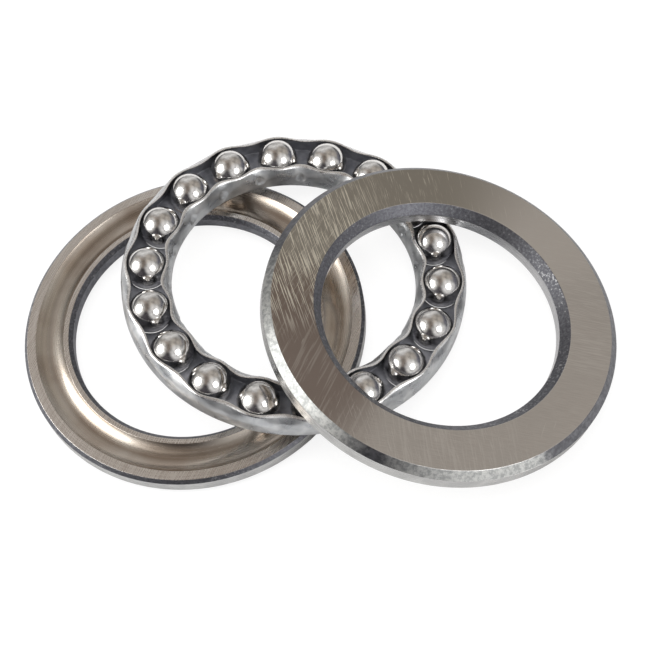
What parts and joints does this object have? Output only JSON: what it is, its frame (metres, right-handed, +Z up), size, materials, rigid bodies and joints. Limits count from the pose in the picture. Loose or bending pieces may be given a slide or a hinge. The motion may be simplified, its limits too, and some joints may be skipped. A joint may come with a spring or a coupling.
{
  "type": "thrust ball bearing",
  "caption": "Single-direction thrust ball bearing laid out in its separable pieces: two grooved steel washers and a pressed cage of captive balls that carry axial load.",
  "frame": {"origin": "on the floor under the middle of the laid-out set", "axes": "+Z up; +X from the housing washer towards the shaft washer; the viewer stands towards -Y"},
  "size_m": [0.0868, 0.0654, 0.0177],
  "materials": {
    "housing_washer_steel": "hardened bearing steel, polished raceway, ground lands",
    "shaft_washer_steel": "hardened bearing steel, ground back face with fine crossed scratches, dark chamfers",
    "cage_steel": "bright pressed steel sheet, satin",
    "ball_steel": "mirror-polished hardened steel"
  },
  "bodies": {
    "housing_washer": {"housing_washer": "housing_washer_steel"},
    "ball_cage": {"ball_cage": "cage_steel"},
    "ball_01": {"ball_01": "ball_steel"},
    "ball_02": {"ball_02": "ball_steel"},
    "ball_03": {"ball_03": "ball_steel"},
    "ball_04": {"ball_04": "ball_steel"},
    "ball_05": {"ball_05": "ball_steel"},
    "ball_06": {"ball_06": "ball_steel"},
    "ball_07": {"ball_07": "ball_steel"},
    "ball_08": {"ball_08": "ball_steel"},
    "ball_09": {"ball_09": "ball_steel"},
    "ball_10": {"ball_10": "ball_steel"},
    "ball_11": {"ball_11": "ball_steel"},
    "ball_12": {"ball_12": "ball_steel"},
    "ball_13": {"ball_13": "ball_steel"},
    "ball_14": {"ball_14": "ball_steel"},
    "ball_15": {"ball_15": "ball_steel"},
    "ball_16": {"ball_16": "ball_steel"},
    "ball_17": {"ball_17": "ball_steel"},
    "ball_18": {"ball_18": "ball_steel"},
    "shaft_washer": {"shaft_washer": "shaft_washer_steel"}
  },
  "joints": [
    {"name": "shaft_washer_spin", "type": "hinge", "parent": "housing_washer", "child": "shaft_washer", "pos_m": [0.01825, -0.00666, 0.00895], "axis": [0.2819, -0.0158, 0.9593], "continuous": true},
    {"name": "cage_spin", "type": "hinge", "parent": "housing_washer", "child": "ball_cage", "pos_m": [-0.0009, 0.00699, 0.00684], "axis": [0.1627, 0.0278, 0.9863], "continuous": true},
    {"name": "ball_01_roll", "type": "hinge", "parent": "ball_cage", "child": "ball_01", "pos_m": [0.02071, 0.00903, 0.00321], "axis": [0.982, 0.0927, -0.1646], "continuous": true},
    {"name": "ball_02_roll", "type": "hinge", "parent": "ball_cage", "child": "ball_02", "pos_m": [0.01868, 0.0164, 0.00334], "axis": [0.8899, 0.4275, -0.1589], "continuous": true},
    {"name": "ball_03_roll", "type": "hinge", "parent": "ball_cage", "child": "ball_03", "pos_m": [0.0143, 0.02263, 0.00389], "axis": [0.6906, 0.7108, -0.1339], "continuous": true},
    {"name": "ball_04_roll", "type": "hinge", "parent": "ball_cage", "child": "ball_04", "pos_m": [0.00808, 0.02697, 0.00479], "axis": [0.4079, 0.9083, -0.0929], "continuous": true},
    {"name": "ball_05_roll", "type": "hinge", "parent": "ball_cage", "child": "ball_05", "pos_m": [0.00078, 0.02891, 0.00594], "axis": [0.076, 0.9963, -0.0406], "continuous": true},
    {"name": "ball_06_roll", "type": "hinge", "parent": "ball_cage", "child": "ball_06", "pos_m": [-0.00673, 0.0282, 0.0072], "axis": [-0.265, 0.9641, 0.0165], "continuous": true},
    {"name": "ball_07_roll", "type": "hinge", "parent": "ball_cage", "child": "ball_07", "pos_m": [-0.01353, 0.02493, 0.00841], "axis": [-0.5741, 0.8156, 0.0717], "continuous": true},
    {"name": "ball_08_roll", "type": "hinge", "parent": "ball_cage", "child": "ball_08", "pos_m": [-0.0188, 0.0195, 0.00944], "axis": [-0.8139, 0.5688, 0.1182], "continuous": true},
    {"name": "ball_09_roll", "type": "hinge", "parent": "ball_cage", "child": "ball_09", "pos_m": [-0.02192, 0.01256, 0.01015], "axis": [-0.9556, 0.2533, 0.1505], "continuous": true},
    {"name": "ball_10_roll", "type": "hinge", "parent": "ball_cage", "child": "ball_10", "pos_m": [-0.0225, 0.00495, 0.01046], "axis": [-0.982, -0.0927, 0.1646], "continuous": true},
    {"name": "ball_11_roll", "type": "hinge", "parent": "ball_cage", "child": "ball_11", "pos_m": [-0.02048, -0.00241, 0.01033], "axis": [-0.8899, -0.4275, 0.1589], "continuous": true},
    {"name": "ball_12_roll", "type": "hinge", "parent": "ball_cage", "child": "ball_12", "pos_m": [-0.01609, -0.00865, 0.00978], "axis": [-0.6906, -0.7108, 0.1339], "continuous": true},
    {"name": "ball_13_roll", "type": "hinge", "parent": "ball_cage", "child": "ball_13", "pos_m": [-0.00987, -0.01299, 0.00888], "axis": [-0.4079, -0.9083, 0.0929], "continuous": true},
    {"name": "ball_14_roll", "type": "hinge", "parent": "ball_cage", "child": "ball_14", "pos_m": [-0.00257, -0.01493, 0.00773], "axis": [-0.076, -0.9963, 0.0406], "continuous": true},
    {"name": "ball_15_roll", "type": "hinge", "parent": "ball_cage", "child": "ball_15", "pos_m": [0.00494, -0.01422, 0.00647], "axis": [0.265, -0.9641, -0.0165], "continuous": true},
    {"name": "ball_16_roll", "type": "hinge", "parent": "ball_cage", "child": "ball_16", "pos_m": [0.01174, -0.01095, 0.00526], "axis": [0.5741, -0.8156, -0.0717], "continuous": true},
    {"name": "ball_17_roll", "type": "hinge", "parent": "ball_cage", "child": "ball_17", "pos_m": [0.01701, -0.00552, 0.00424], "axis": [0.8139, -0.5688, -0.1182], "continuous": true},
    {"name": "ball_18_roll", "type": "hinge", "parent": "ball_cage", "child": "ball_18", "pos_m": [0.02013, 0.00142, 0.00352], "axis": [0.9556, -0.2533, -0.1505], "continuous": true}
  ],
  "couplings": [
    {"joint": "cage_spin", "follows": "shaft_washer_spin", "ratio": 0.5},
    {"joint": "ball_01_roll", "follows": "shaft_washer_spin", "ratio": -3.4646},
    {"joint": "ball_02_roll", "follows": "shaft_washer_spin", "ratio": -3.4646},
    {"joint": "ball_03_roll", "follows": "shaft_washer_spin", "ratio": -3.4646},
    {"joint": "ball_04_roll", "follows": "shaft_washer_spin", "ratio": -3.4646},
    {"joint": "ball_05_roll", "follows": "shaft_washer_spin", "ratio": -3.4646},
    {"joint": "ball_06_roll", "follows": "shaft_washer_spin", "ratio": -3.4646},
    {"joint": "ball_07_roll", "follows": "shaft_washer_spin", "ratio": -3.4646},
    {"joint": "ball_08_roll", "follows": "shaft_washer_spin", "ratio": -3.4646},
    {"joint": "ball_09_roll", "follows": "shaft_washer_spin", "ratio": -3.4646},
    {"joint": "ball_10_roll", "follows": "shaft_washer_spin", "ratio": -3.4646},
    {"joint": "ball_11_roll", "follows": "shaft_washer_spin", "ratio": -3.4646},
    {"joint": "ball_12_roll", "follows": "shaft_washer_spin", "ratio": -3.4646},
    {"joint": "ball_13_roll", "follows": "shaft_washer_spin", "ratio": -3.4646},
    {"joint": "ball_14_roll", "follows": "shaft_washer_spin", "ratio": -3.4646},
    {"joint": "ball_15_roll", "follows": "shaft_washer_spin", "ratio": -3.4646},
    {"joint": "ball_16_roll", "follows": "shaft_washer_spin", "ratio": -3.4646},
    {"joint": "ball_17_roll", "follows": "shaft_washer_spin", "ratio": -3.4646},
    {"joint": "ball_18_roll", "follows": "shaft_washer_spin", "ratio": -3.4646}
  ]
}
